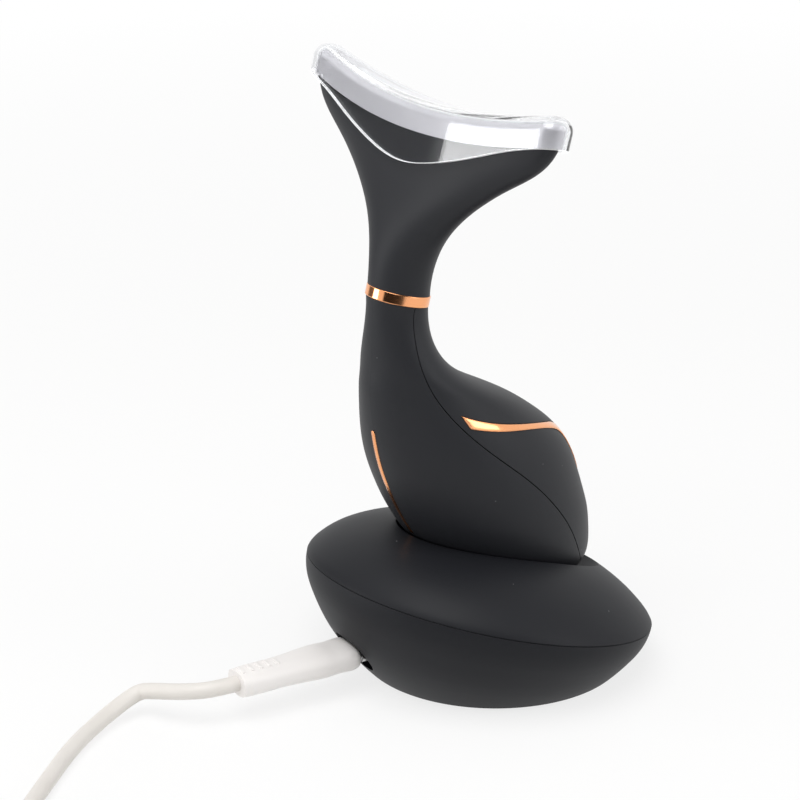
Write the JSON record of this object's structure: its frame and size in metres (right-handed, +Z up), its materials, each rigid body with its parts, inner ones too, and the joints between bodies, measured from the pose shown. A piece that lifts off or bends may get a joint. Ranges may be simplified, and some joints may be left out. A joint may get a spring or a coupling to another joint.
{
  "type": "face and neck massager with charging base",
  "caption": "Swan-shaped face and neck massager with a curved plate under a clear cap, standing tilted in a round charging base with a USB lead.",
  "frame": {"origin": "centre of the foot pad on the table", "axes": "+Z up, +X the side the handset's back bulges to, +Y along the massage plate"},
  "size_m": [0.2909, 0.1144, 0.1523],
  "materials": {
    "base_black": "matt, fine grain",
    "soft_black": "soft-touch matt",
    "rose_gold": "polished rose-gold plating",
    "silver": "polished",
    "clear": "clear, polished",
    "frosted": "frosted",
    "foot_rubber": "matt",
    "steel": "satin",
    "board": "solder mask",
    "dark_plastic": "moulded",
    "contact_gold": "gold plated",
    "cell": "foil",
    "wire": "sleeved bundle",
    "lamp": "clear",
    "white_cord": "satin",
    "white_grip": "satin",
    "tie": "woven"
  },
  "bodies": {
    "base": {"base_ballast": "steel", "base_board_screws": "steel", "base_bottom_shell": "base_black", "base_circuit_board": "board", "base_foot_pad": "foot_rubber", "base_top_shell": "base_black", "contact_barrels": "contact_gold", "contact_block": "dark_plastic", "usb_socket": "steel", "usb_socket_tongue": "dark_plastic"},
    "contact_pin_left": {"contact_pin_left": "contact_gold"},
    "contact_pin_right": {"contact_pin_right": "contact_gold"},
    "handset": {"battery_cell": "cell", "button_switch": "dark_plastic", "charge_pads": "contact_gold", "chassis": "dark_plastic", "front_shell": "soft_black", "front_strip": "rose_gold", "head_shell": "soft_black", "head_wires": "wire", "led_board": "board", "led_chips": "lamp", "light_window": "frosted", "main_circuit_board": "board", "massage_plate": "silver", "motor_cradle": "dark_plastic", "neck_ring": "rose_gold", "rear_belt": "rose_gold", "rear_shell": "soft_black", "status_light": "frosted", "vibration_motor": "steel"},
    "power_button": {"power_button": "soft_black"},
    "eccentric_weight": {"eccentric_weight": "contact_gold"},
    "clear_cap": {"clear_cap": "clear"},
    "cable": {"coil_tie": "tie", "cord_coil": "white_cord", "cord_lead": "white_cord", "cord_tail": "white_cord", "usb_a_insert": "white_grip", "usb_a_overmold": "white_grip", "usb_a_shell": "steel", "usb_plug_overmold": "white_grip", "usb_plug_shell": "steel"}
  },
  "joints": [
    {"name": "handset_lift", "type": "slide", "parent": "base", "child": "handset", "axis": [0.2672, 0, 0.9636], "range_m": [0, 0.06]},
    {"name": "cap_lift", "type": "slide", "parent": "handset", "child": "clear_cap", "axis": [0.2672, 0, 0.9636], "range_m": [0, 0.04]},
    {"name": "power_press", "type": "slide", "parent": "handset", "child": "power_button", "axis": [0.989, 0, 0.1478], "range_m": [-0.0006, 0], "stiffness_N_per_m": 1500, "springref_m": 0.0003},
    {"name": "weight_spin", "type": "hinge", "parent": "handset", "child": "eccentric_weight", "pos_m": [-0.02508, 0, 0.12634], "axis": [0, 1, 0], "continuous": true},
    {"name": "pin_left_press", "type": "slide", "parent": "base", "child": "contact_pin_left", "axis": [0.2672, 0, 0.9636], "range_m": [-0.0008, 0], "stiffness_N_per_m": 700, "springref_m": 0.0002},
    {"name": "pin_right_press", "type": "slide", "parent": "base", "child": "contact_pin_right", "axis": [0.2672, 0, 0.9636], "range_m": [-0.0008, 0], "stiffness_N_per_m": 700, "springref_m": 0.0002},
    {"name": "plug_pull", "type": "slide", "parent": "base", "child": "cable", "axis": [-0.9936, 0.1132, 0], "range_m": [0, 0.015]}
  ]
}
